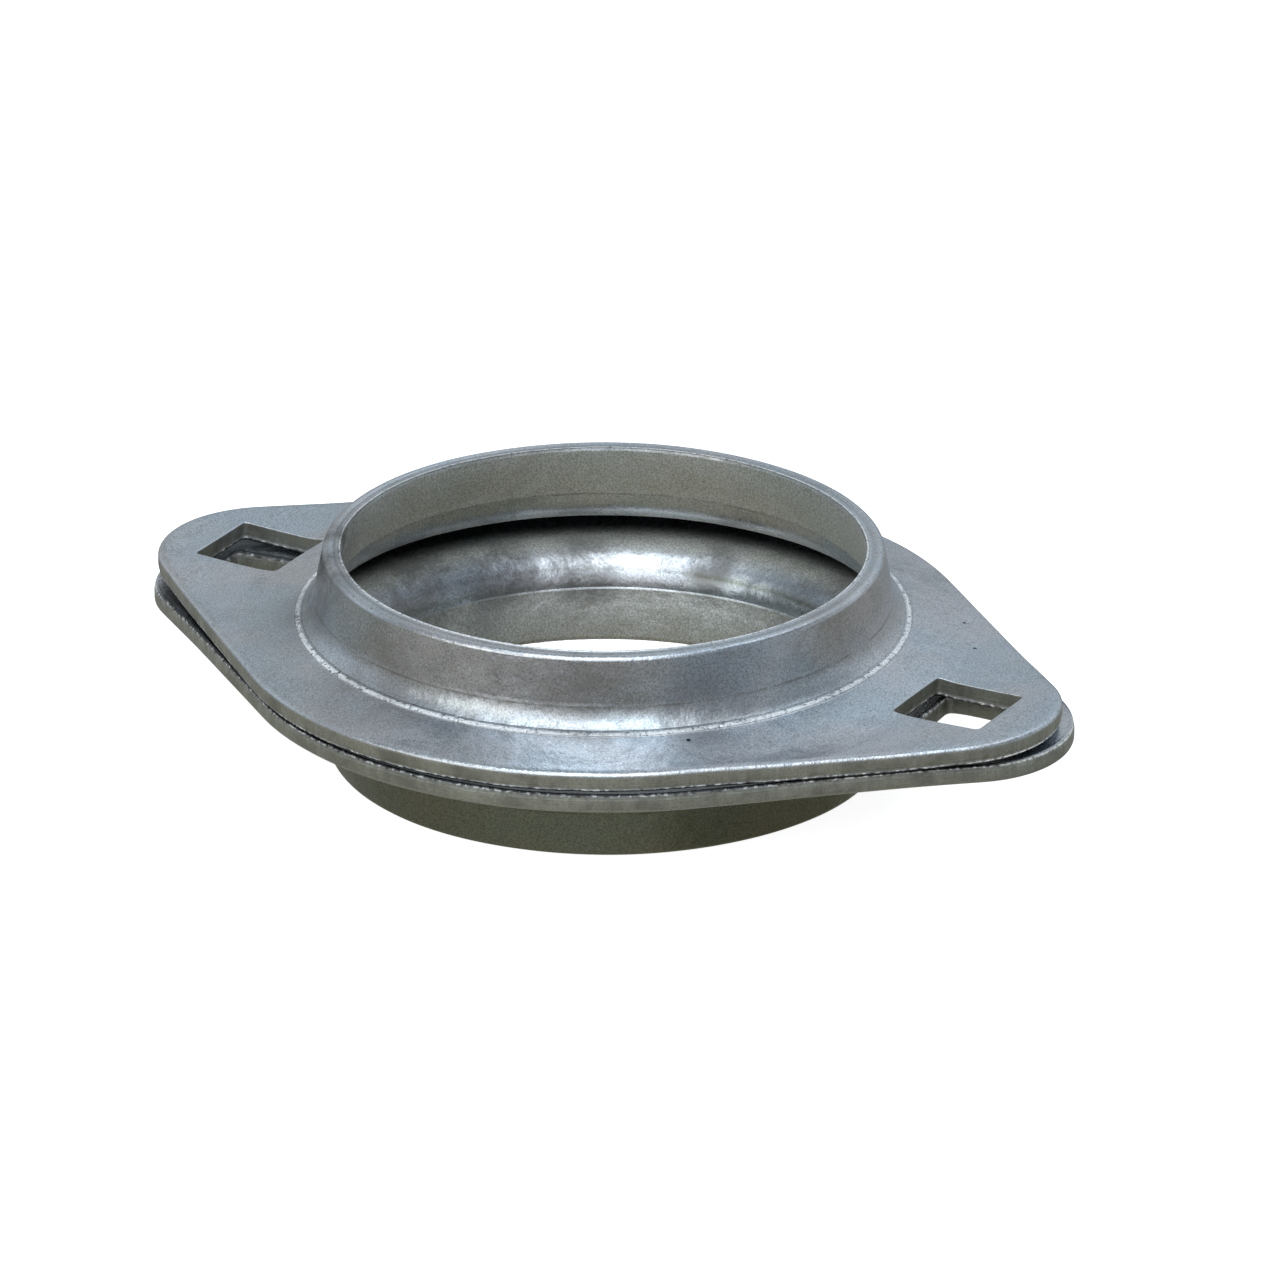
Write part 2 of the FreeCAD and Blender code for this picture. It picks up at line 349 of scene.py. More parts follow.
def fillet_curve(t):
    """Fillet from the neck at t = 0 to the crease at t = 1, an arc between two tangents.

    With Q where the tangents meet and w = cos(half the turn), the point is
    ((1-t)^2 P + 2 w t (1-t) Q + t^2 R) / ((1-t)^2 + 2 w t (1-t) + t^2)."""
    leg = FILLET_R * math.tan(0.5 * FILLET_TURN)
    corner = CREASE + leg * along(180 - DISH_SLOPE - CREASE_BREAK)
    top = corner + leg * along(90 + NECK_LEAN)
    t = np.asarray(t)[:, None]
    a, b, c = (1 - t) ** 2, 2 * math.cos(0.5 * FILLET_TURN) * t * (1 - t), t**2
    return (a * top + b * corner + c * CREASE) / (a + b + c)


def plain_rows(points, cut=0.0, torn=0.0, bright=0.0, matte=0.0, grime=0.0):
    """Rows of a section's points with their marks, each mark one number or a number a row."""
    marks = np.broadcast_arrays(np.zeros(len(points)), cut, torn, bright, matte, grime)[1:]
    return np.column_stack([points, *marks])


def crease_rows():
    """The line that the die leaves at the collar's root: a bead, steep outside and gentle inside.

    The height is the dish outside the crease and the fillet inside it, plus a bell exp(-(s / reach)^2) of
    the distance s from the crease. The painted glint along the bead is a flatter bell, with a fourth
    power."""
    s = np.concatenate([BEAD_STEPS, -BEAD_STEPS[-2:1:-1]])
    r = CREASE[0] + s
    fillet = fillet_curve(np.linspace(0.5, 1, 40))
    base = np.where(s > 0, dish_height(r, True), np.interp(r, fillet[:, 0], fillet[:, 1]))
    bead = BEAD_HEIGHT * np.exp(-((s / np.where(s > 0, BEAD_OUTSIDE, BEAD_INSIDE)) ** 2))
    bright = np.exp(-(((s - GLINT_MIDDLE) / GLINT_REACH) ** 4))
    return plain_rows(np.column_stack([r, base + bead]), bright=bright)


print("fillet turns %.1f deg and starts at height %.2f"
      % (math.degrees(FILLET_TURN), fillet_curve([0])[0, 1]))

# %% The turned section as rows of radius, height and marks
RIM_ROUNDING = 0.515        # the rim's outer edge is rounded from this far down the neck
RIM_WEAR = 0.115            # and worn in by this much
RIM_FACE = (-0.95, -0.098)  # where the rounding meets the rim's face, from the sharp corner
RIM_BURR = [(0.50, -0.04), (0.36, -0.085), (0.24, -0.05), (0.13, 0.0), (0.06, -0.005),
            (0.01, -0.05), (0.0, -0.12)]        # out and up from the sharp inner corner
# painted glint along the rim's inner burr, row by row
RIM_BURR_GLINT = [0, 0.3, 0.7, 1, 1, 0.6, 0]
DULL_FROM, DULL_OVER = 27.0, 1.4                # radius where the entry bend turns matte, and how softly


def outside_rows():
    """Rows from the ring's outer edge in over the crease and up the neck to the rim's face."""
    dish_r = np.linspace(RING_R, CREASE[0] + 0.9, 8)
    dish = np.column_stack([dish_r, dish_height(dish_r, True)])
    fillet = fillet_curve(np.linspace(0.82, 0, 24))
    neck_top = rim_corner - RIM_ROUNDING * along(90 + NECK_LEAN) - [RIM_WEAR, 0]
    neck = straight(fillet[-1], neck_top, 14)
    rim_edge = tangent_arc(neck_top, along(90 + NECK_LEAN), rim_corner + RIM_FACE, 12)
    # the rim's rounded outer edge gets a faint painted highlight
    return np.vstack([plain_rows(dish), crease_rows(), plain_rows(fillet, matte=0.2),
                      plain_rows(neck[1:]), plain_rows(rim_edge[1:], bright=0.2)])


def inside_rows():
    """Rows from the rim's face over the burr, down lip, seat and entry bend, and out under the dish."""
    burr = np.array([RIM_INNER_R, COLLAR_HEIGHT]) + RIM_BURR
    face = straight(rim_corner + RIM_FACE, burr[0], 5)[1:-1]
    seat_end = SEAT_SPHERE_R * along(SEAT_END_ANGLE)
    lip = tangent_arc(seat_end, along(90 + SEAT_END_ANGLE), burr[-1], 15)[::-1][1:]
    seat = arc((0, 0), SEAT_SPHERE_R, SEAT_END_ANGLE, SEAT_ANGLE, 9)[1:]
    entry = arc(entry_centre, ENTRY_R, SEAT_ANGLE + 180, 270 - DISH_SLOPE, 28)[1:]
    dulled = np.clip((entry[:, 0] - DULL_FROM) / DULL_OVER, 0, 1)
    under_r = np.linspace(entry[-1, 0], RING_R, 7)[1:]
    under = np.column_stack([under_r, dish_height(under_r, False)])
    # painted shade: a little on the rim's face, and rising under the dish towards the gap between the
    # halves; the burr gets a painted glint
    return np.vstack([
        plain_rows(face, cut=0.2, grime=0.14), plain_rows(burr, cut=0.1, bright=RIM_BURR_GLINT),
        plain_rows(lip, matte=0.9), plain_rows(seat, matte=0.85), plain_rows(entry, matte=dulled),
        plain_rows(under, matte=np.linspace(0.9, 0.3, 6), grime=np.linspace(0, 0.8, 6))])


section = np.vstack([outside_rows(), inside_rows()])
print("section has %d rows, highest %.3f" % (len(section), section[:, 1].max()))

# %% [markdown]
# ## From grids to one closed mesh
#
# Each block is an array of points with its marks. All the blocks go into one mesh, the shared edge
# points are welded, and the normals are worked out again. Welding joins the blocks without a seam.

# %% Blocks of one pressing
def turned_block():
    """The section turned about the shaft axis: (r cos a, r sin a, z)."""
    a = np.arange(ROUND_STEPS) * 2 * math.pi / ROUND_STEPS
    r, z = section[:, 0, None], section[:, 1, None]
    points = np.stack([r * np.cos(a), r * np.sin(a), z + 0 * a], axis=-1)
    marks = np.repeat(section[:, None, 2:], ROUND_STEPS, axis=1)
    return points, marks, True


def face_marks(plan, level):
    """No marks on the outward face, and painted shade at half strength all over the mating face, which
    lies in the gap.
    """
    marks = np.zeros((*plan.shape[:2], len(MARKS)))
    marks[..., MARKS.index("grime")] = 0.5 * (level < 0.5)
    return marks


def band_block(inset, level):
    """Front band of the plate, from the ring out to the inset outline along rays."""
    inner = RING_R * np.stack([np.cos(BAND_ANGLES), np.sin(BAND_ANGLES)], -1)
    plan = inner + ROWS[:, None, None] * (band_outline(BAND_ANGLES, inset) - inner)
    return plate_points(plan[..., 0], plan[..., 1], level), face_marks(plan, level), False


def ear_block(inset, hole_inset, level):
    """Plate of the right ear: straight lines from the hole's edge to the border."""
    inner = hole_point(hole_rays, hole_inset)
    plan = inner + HOLE_ROWS[:, None, None] * (ear_border(inset, ROWS) - inner)
    return plate_points(plan[..., 0], plan[..., 1], level), face_marks(plan, level), True


def edge_block(plan, profile, closed):
    """Blanked edge: one row of plan points for each row of the profile, at the profile's levels."""
    points = plate_points(plan[..., 0], plan[..., 1], profile[:, 1, None])
    marks = np.repeat(profile[:, None, 2:], plan.shape[1], axis=1)
    return points, marks, closed


def blanked_edges():
    """The edge carried along the front band's outline, round the right ear and round its hole."""
    insets = outline_edge[:, 0]
    band = np.stack([band_outline(BAND_ANGLES, inset) for inset in insets])
    ear = np.stack([ear_outline(inset) for inset in insets])
    hole = np.stack([hole_point(hole_rays, inset) for inset in hole_edge[:, 0]])
    return [edge_block(band, outline_edge, False), edge_block(ear, outline_edge, False),
            edge_block(hole, hole_edge, True)]


def half_turned(block):
    """The same block on the other side: (-x, -y, z)."""
    points, marks, closed = block
    return points * [-1, -1, 1], marks, closed


def pressing_blocks():
    """The turned middle, then the front band and right ear, and the same again half a turn round."""
    one_side = blanked_edges()
    for row in (0, -1):
        inset, level = outline_edge[row, :2]
        one_side += [band_block(inset, level), ear_block(inset, hole_edge[row, 0], level)]
    return [turned_block()] + one_side + [half_turned(block) for block in one_side]


print("a pressing has %d blocks" % len(pressing_blocks()))

# %% [markdown]
# ## Grids into a mesh
#
# A grid of points becomes quads by numbering the points row by row. The marks go into the mesh as
# float attributes, which a material can read. Points that two blocks share are then merged. Joining
# objects and merging by distance in the editor would do the same, but not again at every run.

# %% Mesh from blocks, welded
WELD_GAP = 0.0002                   # mm
GAP_SHADE_TO, GAP_SHADE_FADE = 43.0, 3.0    # the ears' tips stand apart in the light, so the painted shade fades out there


def grid_faces(rows, columns, closed):
    """Quads between neighbouring rows and columns, with the last column joined to the first if closed."""
    index = np.arange(rows * columns).reshape(rows, columns)
    if closed:
        index = np.hstack([index, index[:, :1]])
    corners = [index[:-1, :-1], index[:-1, 1:], index[1:, 1:], index[1:, :-1]]
    return np.stack(corners, axis=-1).reshape(-1, 4)


def mesh_of(name, blocks):
    """One mesh with all the blocks' points, faces and marks. The painted shade fades towards the ears'
    tips, which stand apart in the light.
    """
    points, marks, faces, first = [], [], [], 0
    for grid, grid_marks, closed in blocks:
        rows, columns = grid.shape[:2]
        points.append(grid.reshape(-1, 3))
        marks.append(grid_marks.reshape(-1, len(MARKS)))
        faces.append(grid_faces(rows, columns, closed) + first)
        first += rows * columns
    points, marks, faces = np.vstack(points), np.vstack(marks), np.vstack(faces)
    marks[:, MARKS.index("grime")] *= 1 - np.clip((np.abs(points[:, 0]) - GAP_SHADE_TO) / GAP_SHADE_FADE, 0, 1)
    mesh = bpy.data.meshes.new(name)
    mesh.from_pydata(points, [], faces)
    for column, mark in enumerate(MARKS):
        layer = mesh.attributes.new(mark, "FLOAT", "POINT")
        layer.data.foreach_set("value", marks[:, column].astype(np.float32))
    return mesh


def weld(mesh):
    """Joins points that lie together, turns all faces outwards and counts the open edges."""
    work = bmesh.new()
    work.from_mesh(mesh)
    bmesh.ops.remove_doubles(work, verts=work.verts, dist=WELD_GAP)
    bmesh.ops.recalc_face_normals(work, faces=work.faces)
    open_edges = sum(1 for edge in work.edges if not edge.is_manifold)
    work.to_mesh(mesh)
    work.free()
    return open_edges


print("a ring of two rows and four columns has", len(grid_faces(2, 4, True)), "quads")

# %% [markdown]
# ## Unevenness
#
# No pressing is perfect. The plate waves by a few hundredths of a millimetre, the collar is slightly
# oval, its rim is not cut quite level, and the crease wanders. Reflections show such small errors long
# before the outline does, so they are worked into the points themselves, as sums of a few sines.

# %% Small errors of form
COLLAR_FROM = 4.0                   # height where the collar's own errors begin
BEND_HEIGHT, BEND_REACH = 3.8, 1.3  # the bend below the neck
CREASE_REACH = 0.5                  # how far the crease's wandering is felt
OUTWARD_FROM = 2.0                  # at the crease, points above this height are on the outward face


def waves(phase, seed, harmonics):
    """Sum of cosines of an angle with seeded phases, scaled to stay between -1 and 1."""
    starts = np.random.default_rng(seed).uniform(0, 2 * math.pi, len(harmonics))
    total = sum(np.cos(n * phase + start) for n, start in zip(harmonics, starts))
    return total / len(harmonics)


def uneven(points, seed):
    """Moves points a little: plate waves, an oval collar, an uneven rim and a wandering crease.

    Each error is a height in mm times waves of the angle or the place, times a mask of 0 to 1 that
    says where it acts: up the collar, at the bend below the neck, or close to the crease."""
    x, y, z = points.T
    angle, r = np.arctan2(y, x), np.hypot(x, y)
    up_collar = np.clip((z - COLLAR_FROM) / (COLLAR_HEIGHT - COLLAR_FROM), 0, 1) ** 2
    up_collar = up_collar * (r < CREASE[0] - 1.0)
    at_bend = np.exp(-(((z - BEND_HEIGHT) / BEND_REACH) ** 2)) * (r < CREASE[0] - 0.4)
    at_crease = np.exp(-(((r - CREASE[0]) / CREASE_REACH) ** 2)) * (z > OUTWARD_FROM)

    oval = 0.05 * waves(angle, seed, (2, 3, 5)) + 0.012 * waves(angle, seed + 1, (7, 11, 16, 23))
    rim_drop = 0.05 * (waves(angle, seed + 2, (2, 3, 7)) - 1)
    slow = waves(0.21 * x + 0.13 * y, seed + 3, (1, 2))
    fast = waves(0.17 * y - 0.11 * x, seed + 4, (1, 2, 3))
    plate = 0.02 * (slow + fast)
    crease_wander = 0.03 * waves(angle, seed + 5, (9, 17, 31, 53, 71))
    bend_wander = 0.06 * at_bend * waves(angle, seed + 6, (8, 13, 19, 31, 43))

    push = oval * up_collar + bend_wander + crease_wander * at_crease
    grow = 1 + push / np.maximum(r, 1)
    return np.column_stack([x * grow, y * grow, z + rim_drop * up_collar + plate * (1 - up_collar)])


def placed(points, turned_over):
    """Points of a pressing moved to its half of the housing, in metres."""
    sign = -1 if turned_over else 1
    x, y, z = points.T * [[sign], [1], [sign]]
    turn = -sign * HALF_TURN
    turned = [x * math.cos(turn) - y * math.sin(turn) - sign * HALF_SHIFT,
              x * math.sin(turn) + y * math.cos(turn), z + sign * HALF_GAP]
    return np.column_stack(turned) * MM


rim = np.array([[*(RIM_OUTER_R * along(60 * k)), COLLAR_HEIGHT] for k in range(6)])
print("errors at six points of a rim, in mm:", np.round(np.abs(uneven(rim, 11) - rim).max(axis=1), 3))

# %% [markdown]
# ## The two halves
#
# The lower half is the same pressing turned over about the Y axis, and each half lies a little turned
# and shifted, because nothing holds them yet. They get different seeds, so they don't err alike. Each
# mesh stands in for its CAD node and rides on the body that moves it.

# %% Make both halves
def make_half(name, seed, turned_over):
    """One pressing as an object: its blocks welded, made uneven and moved to its place."""
    mesh = mesh_of(name, pressing_blocks())
    open_edges = weld(mesh)
    points = np.empty(3 * len(mesh.vertices))
    mesh.vertices.foreach_get("co", points)
    points = placed(uneven(points.reshape(-1, 3), seed), turned_over)
    mesh.vertices.foreach_set("co", points.ravel())
    mesh.polygons.foreach_set("use_smooth", np.ones(len(mesh.polygons), dtype=bool))
    mesh.update()
    half = bpy.data.objects.new(name, mesh)
    bpy.context.collection.objects.link(half)
    print("%s: %d points, %d triangles, %d open edges"
          % (name, len(mesh.vertices), 2 * len(mesh.polygons), open_edges))
    return half


halves = {"upper": make_half("upper_pressing", seed=11, turned_over=False),
          "lower": make_half("lower_pressing", seed=47, turned_over=True)}
for side, half in halves.items():
    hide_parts(side + "_flangette")
    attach(half, side + "_half")

# %% [markdown]
# ## Shader maths in Python
#
# A material is a sum of masks and noises. Written as nodes one by one it is hard to read, so a small
# class wraps a socket: + - * / on it add Math nodes, and one method makes any other node.

# %% A socket that can be calculated with
class Value:
    """A number on a node's socket. Arithmetic with it adds Math nodes to its tree."""

    def __init__(self, tree, socket):
        self.tree, self.socket = tree, socket

    def math(self, operation, first, second):
        return self.tree.add("Math", {"operation": operation}, {0: first, 1: second})

    def __add__(self, other):
        return self.math("ADD", self, other)

    __radd__ = __add__

    def __mul__(self, other):
        return self.math("MULTIPLY", self, other)

    __rmul__ = __mul__

    def __sub__(self, other):
        return self.math("SUBTRACT", self, other)

    def __rsub__(self, other):
        return self.math("SUBTRACT", other, self)


class Tree:
    """A node tree. add() makes any node: its type, its settings, then its sockets' values or links."""

    def __init__(self, owner):
        owner.use_nodes = True
        self.nodes, self.links = owner.node_tree.nodes, owner.node_tree.links
        self.nodes.clear()

    def add(self, kind, settings=None, sockets=None, output=0):
        node = self.nodes.new("ShaderNode" + kind)
        for name, setting in (settings or {}).items():
            if name == "stops":
                ramp = node.color_ramp
                while len(ramp.elements) < len(setting):
                    ramp.elements.new(0.5)
                for element, (position, colour) in zip(ramp.elements, setting):
                    element.position, element.color = position, colour
            else:
                setattr(node, name, setting)
        for key, value in (sockets or {}).items():
            if isinstance(value, Value):
                self.links.new(value.socket, node.inputs[key])
            else:
                node.inputs[key].default_value = value
        return Value(self, node.outputs[output]) if len(node.outputs) else None

    def vector(self, operation, *inputs):
        """Number that a Vector Math node works out, such as a DISTANCE, LENGTH or DOT_PRODUCT."""
        return self.add("VectorMath", {"operation": operation}, dict(enumerate(inputs)), output="Value")

    def smooth(self, value, low, high, to_low=0.0, to_high=1.0):
        """Smooth step of value from low to high, rescaled to to_low .. to_high."""
        settings = {"interpolation_type": "SMOOTHSTEP", "clamp": True}
        return self.add("MapRange", settings, {0: value, 1: low, 2: high, 3: to_low, 4: to_high})

    def blend(self, factor, first, second, mode="MIX"):
        """Colour first turned into colour second by factor."""
        settings = {"data_type": "RGBA", "blend_type": mode, "clamp_factor": True}
        return self.add("Mix", settings, {0: factor, 6: first, 7: second}, output=2)


def rgb(*channels):
    """Colour from red, green and blue, fully opaque."""
    return (*channels, 1.0)


print("shader helpers ready, white is", rgb(1.0, 1.0, 1.0))

# %% [markdown]
# ## What the finish can read
#
# Bright zinc over pressed steel is a satin metal: cloudy on the scale of millimetres, finely grained
# on the scale of a tenth of one, with drawing streaks up the collar. Each of these is one noise on
# the piece's own coordinates. The five marks from the mesh and the height and radius of the point
# say where on the pressing a layer belongs. All are collected first, so the layers stay short.

# %% Noises, marks and masks of one finish
class Skin:
    """What the layers of a finish read: the place on the piece, noises there, marks and masks."""

    def __init__(self, tree, seed):
        self.tree, self.seed = tree, seed
        self.place = tree.add("TexCoord", output="Object")
        self.plan_place = self.stretched(0)
        self.radius = tree.vector("LENGTH", self.plan_place)
        self.height = tree.add("SeparateXYZ", {}, {0: self.place}, output="Z")
        self.cut, self.torn, self.bright, self.matte, self.grime = (self.mark(which) for which in MARKS)

        self.haze = self.noise(70, 2, 0.5, 0.0)
        self.cloud = self.noise(240, 4, 0.62, 1.1)
        self.dimple = self.noise(420, 2, 0.5, 5.2)
        self.teeth = self.noise(2300, 1, 0.4, 7.1)
        self.grain = self.noise(3000, 2, 0.7, 2.3)
        self.speck = self.noise(5600, 1, 0.5, 3.7)
        self.drawn = self.noise(1500, 2, 0.6, 4.4, self.stretched(0.05))
        self.striped = self.noise(900, 3, 0.7, 6.0, self.stretched(0.2))

        # where the teeth of a painted glint line shine white
        self.glint = tree.smooth(self.teeth * 0.7 + self.grain * 0.3, 0.38, 0.50)
        self.serrated = tree.smooth(self.bright, 0.45, 0.9)
        self.film = self.matte * self.matte * self.beyond(26.0, 26.8)

    def noise(self, scale, detail, roughness, step, where=None):
        """Noise of so many waves a metre. Each finish and each noise has its own slice, seed + step."""
        sockets = {"Vector": where or self.place, "W": self.seed + step, "Scale": scale, "Detail": detail,
                   "Roughness": roughness}
        return self.tree.add("TexNoise", {"noise_dimensions": "4D"}, sockets, output="Fac")

    def mark(self, which):
        """One of the mesh's marks."""
        settings = {"attribute_type": "GEOMETRY", "attribute_name": which}
        return self.tree.add("Attribute", settings, output="Fac")

    def beyond(self, low, high):
        """1 outside a radius, rising from low to high in mm."""
        return self.tree.smooth(self.radius, low * MM, high * MM)

    def stretched(self, height_scale):
        """The place with its height scaled: below 1 draws a pattern out upwards, and 0 flattens it."""
        return self.tree.add("Mapping", {}, {"Vector": self.place, "Scale": (1, 1, height_scale)})


print("a finish reads the marks", MARKS)

# %% [markdown]
# ## Colour, layer on layer
#
# The zinc is cool and warm grey in soft fields, with darker clouds and light and dark specks. Where the
# mouth was drawn it is paler and matte. Cut metal is duller and olive grey, and the torn band is striped.
# The burr, the root bead and the rolled edges get painted glints in small teeth with dark gaps, and
# painted shade, nearly black, fills the gap between the halves except where a tooth glints. Each is a
# layer blended over the last by a mask, which is easier to tune than one mixed texture, because a layer
# is one thing: a mark of the real plate, or one painted light or shade.

# %% Layers of colour
def plate_colour(skin):
    """Zinc plate, and the paler skin where the sheet was stretched."""
    smooth, blend = skin.tree.smooth, skin.tree.blend
    colour = blend(smooth(skin.haze, 0.40, 0.60), rgb(0.59, 0.665, 0.725), rgb(0.715, 0.69, 0.705))
    colour = blend(smooth(skin.cloud, 0.32, 0.52, 0.65, 0.0), colour, rgb(0.46, 0.49, 0.52))
    colour = blend(smooth(skin.speck, 0.45, 0.66, 0.0, 0.65), colour, rgb(0.86, 0.89, 0.92))
    colour = blend(smooth(skin.speck, 0.50, 0.30, 0.0, 0.65), colour, rgb(0.38, 0.40, 0.42))
    colour = blend(smooth(skin.grain, 0.42, 0.28, 0.0, 0.5), colour, rgb(0.32, 0.34, 0.35))
    drawn = blend(smooth(skin.speck, 0.35, 0.65), rgb(0.62, 0.62, 0.57), rgb(0.90, 0.90, 0.85))
    return blend(skin.matte * 0.85, colour, drawn)


def cut_colour(skin):
    """Cut metal: the burnished band, the torn band, and dark specks and clouds over both."""
    smooth, blend = skin.tree.smooth, skin.tree.blend
    sheared = blend(smooth(skin.striped, 0.30, 0.65), rgb(0.50, 0.50, 0.445), rgb(0.62, 0.62, 0.555))
    ripped = blend(smooth(skin.striped, 0.35, 0.6), rgb(0.44, 0.44, 0.38), rgb(0.62, 0.62, 0.56))
    colour = blend(skin.torn, sheared, ripped)
    colour = blend(smooth(skin.speck, 0.52, 0.30, 0.0, 0.45), colour, rgb(0.30, 0.30, 0.25))
    return blend(smooth(skin.cloud, 0.55, 0.35, 0.0, 0.55), colour, rgb(0.30, 0.30, 0.27))


def glint_and_shade_colour(skin, colour):
    """Painted glints, white in teeth with dark gaps, and painted shade, nearly black, where no tooth
    glints through it.
    """
    smooth, blend = skin.tree.smooth, skin.tree.blend
    # painted glint: white where the teeth glint
    colour = blend(skin.bright * (0.45 + 0.55 * skin.glint), colour, rgb(1.0, 1.0, 1.0))
    gaps = skin.bright * (1 - skin.glint) * smooth(skin.grain, 0.5, 0.35, 0.0, 0.9)
    colour = blend(gaps, colour, rgb(0.22, 0.23, 0.24))
    # painted shade, nearly black, with the glinting teeth left showing through it
    glint_through_shade = skin.bright * smooth(skin.teeth, 0.56, 0.62)
    return blend(skin.grime * (1 - glint_through_shade) * 0.92, colour, rgb(0.05, 0.05, 0.055))


print("colour layers ready")

# %% [markdown]
# ## Stains and pits
#
# Real plate has soft dark stains and a few small pits. A faint dark brown line also runs round each
# collar's outside at the height where the fillet meets the neck, and the outside of the collar that
# points down gets painted shade, a darker olive. Stains and pits are single events, so each is a place
# and a size rather than a noise. The line is a height, squared, so that one rule serves the collar that
# points down as well.

# %% Layers of wear, and painted shade on the lower collar
UPPER_STAINS = [((-22, -13, 10), 13, 0.9), ((-10, -27, 5), 9, 0.4), ((12, -26, 6), 7, 0.5),
                ((24, -5, 6), 9, 0.4), ((21, -19, 5), 6, 0.4)]      # place, size in mm and depth of tone
LOWER_STAINS = [((-24, 10, -4), 10, 0.7), ((10, 24, -4), 12, 0.5), ((-14, 22, -3), 5, 0.9),
                ((-3, 27, -3), 4, 0.9), ((-21, 17, -3), 5, 0.8)]
UPPER_PITS = [(29.6, 16.5, 0.24), (33.1, 11.8, 0.24), (20.6, -22.0, 0.28)]      # x, y and size in mm
FILLET_TOP_LINE = fillet_curve([0])[0, 1] + HALF_GAP
LINE_ABOVE, LINE_BELOW = 0.12, 0.25             # how far it fades
COLLAR_SHADE_FROM, COLLAR_SHADE_FULL = -2.8 * MM, -3.6 * MM     # heights over which the painted shade on a downward collar comes in


def stained(skin, colour, stains, pits):
    """Dark patches that fade with distance and break up in the clouds, and small round pits."""
    smooth, blend, distance = skin.tree.smooth, skin.tree.blend, skin.tree.vector
    blotchy = smooth(skin.cloud + 0.4 * skin.grain, 0.5, 0.8)
    for (x, y, z), size, depth in stains:
        away = distance("DISTANCE", skin.place, (x * MM, y * MM, z * MM))
        patch = smooth(away, size * MM, 0.3 * size * MM, 0.0, depth)
        colour = blend(patch * blotchy, colour, rgb(0.24, 0.235, 0.23))
    for x, y, size in pits:
        away = distance("DISTANCE", skin.plan_place, (x * MM, y * MM, 0))
        colour = blend(smooth(away, size * MM, 0.5 * size * MM), colour, rgb(0.03, 0.03, 0.03))
    return colour


def lined(skin, colour):
    """A faint dark brown line: a narrow band in squared height on the collar's outside, at the height
    where the fillet meets the neck, broken by the clouds.
    """
    smooth = skin.tree.smooth
    squared = skin.height * skin.height * (1 / MM**2)
    line = smooth(squared, (FILLET_TOP_LINE - LINE_BELOW) ** 2, FILLET_TOP_LINE**2)
    line = line * smooth(squared, (FILLET_TOP_LINE + LINE_ABOVE) ** 2, FILLET_TOP_LINE**2)
    faint = line * skin.beyond(26.6, 27.0) * smooth(skin.cloud, 0.35, 0.6, 0.0, 0.6)
    return skin.tree.blend(faint, colour, rgb(0.25, 0.22, 0.19))


def painted_collar_shade(skin, colour, shade_colour):
    """Painted shade on the outside of a collar that points down, where the flange shades it: its colour
    multiplied by a darker olive.
    """
    outside = skin.tree.smooth(skin.height, COLLAR_SHADE_FROM, COLLAR_SHADE_FULL) * skin.beyond(26.0, 26.25)
    return skin.tree.blend(outside, colour, rgb(*shade_colour), "MULTIPLY")


print("%d and %d stains, draw line at height %.2f" % (len(UPPER_STAINS), len(LOWER_STAINS), FILLET_TOP_LINE))

# %% [markdown]
# ## Gloss and relief
#
# Roughness goes up on cut and stretched metal. A thin dull film on the stretched metal outside the seat
# scatters light as well as reflects it, so it is less metallic. The teeth of the painted glint lines are
# made far less metallic too, so that their painted white shows as glints. The noises also raise a bump of
# hundredths of a millimetre. Real displacement would need far more points for the same look.

# %% The finish of a pressing
BUMP_DEPTH = 0.03 * MM


def gloss(skin):
    """Roughness: a satin base with clouds, plus a share of each mark."""
    plain = 0.16 + 0.20 * skin.cloud + 0.05 * skin.grain + 0.18 * skin.film
    return plain + skin.cut * 0.26 + skin.torn * 0.1 + skin.matte * 0.28 + skin.bright * 0.06


def relief(skin):
    """Height of the bump: grain everywhere, stripes when torn, teeth on bright lines, peel on matte."""
    height = skin.cloud + skin.grain * 0.9 + skin.speck * 0.5 + skin.drawn * 0.25
    height = height + skin.torn * skin.striped * 2.0 + 8.0 * skin.dimple
    height = height + skin.bright * (skin.speck * 2.0 + skin.grain * 3.0)
    height = height + skin.serrated * skin.teeth * 17.0
    return height + skin.matte * (skin.dimple * 8.0 + skin.grain * 2.0)


def zinc_plate(name, seed, collar_shade_tint, stains, pits):
    """Material of one pressing, from its layers."""
    material = bpy.data.materials.new(name)
    tree = Tree(material)
    skin = Skin(tree, seed)
    colour = tree.blend(skin.cut, plate_colour(skin), cut_colour(skin))
    colour = glint_and_shade_colour(skin, colour)
    colour = lined(skin, stained(skin, colour, stains, pits))
    # the painted glint's teeth are made barely metallic, so that their painted white shows
    metallic = 1 - 0.9 * skin.serrated * skin.glint - 0.22 * skin.film
    bump = tree.add("Bump", {}, {"Strength": 0.6, "Distance": BUMP_DEPTH, "Height": relief(skin)},
                    output="Normal")
    shader = tree.add("BsdfPrincipled", {}, {
        "Base Color": painted_collar_shade(skin, colour, collar_shade_tint), "Metallic": metallic,
        "Roughness": gloss(skin), "Normal": bump})
    tree.add("OutputMaterial", {}, {"Surface": shader})
    return material


# the lower half's downward collar gets painted shade, a darker olive; the upper's tint is white, so it is
# left as it is
for side, seed, collar_shade_tint, stains, pits in (
        ("upper", 3.0, (1.0, 1.0, 1.0), UPPER_STAINS, UPPER_PITS),
        ("lower", 8.0, (0.48, 0.47, 0.375), LOWER_STAINS, ())):
    finish = zinc_plate(side + "_zinc_finish", seed, collar_shade_tint, stains, pits)
    halves[side].data.materials.append(finish)
    print(finish.name, "has", len(finish.node_tree.nodes), "nodes")

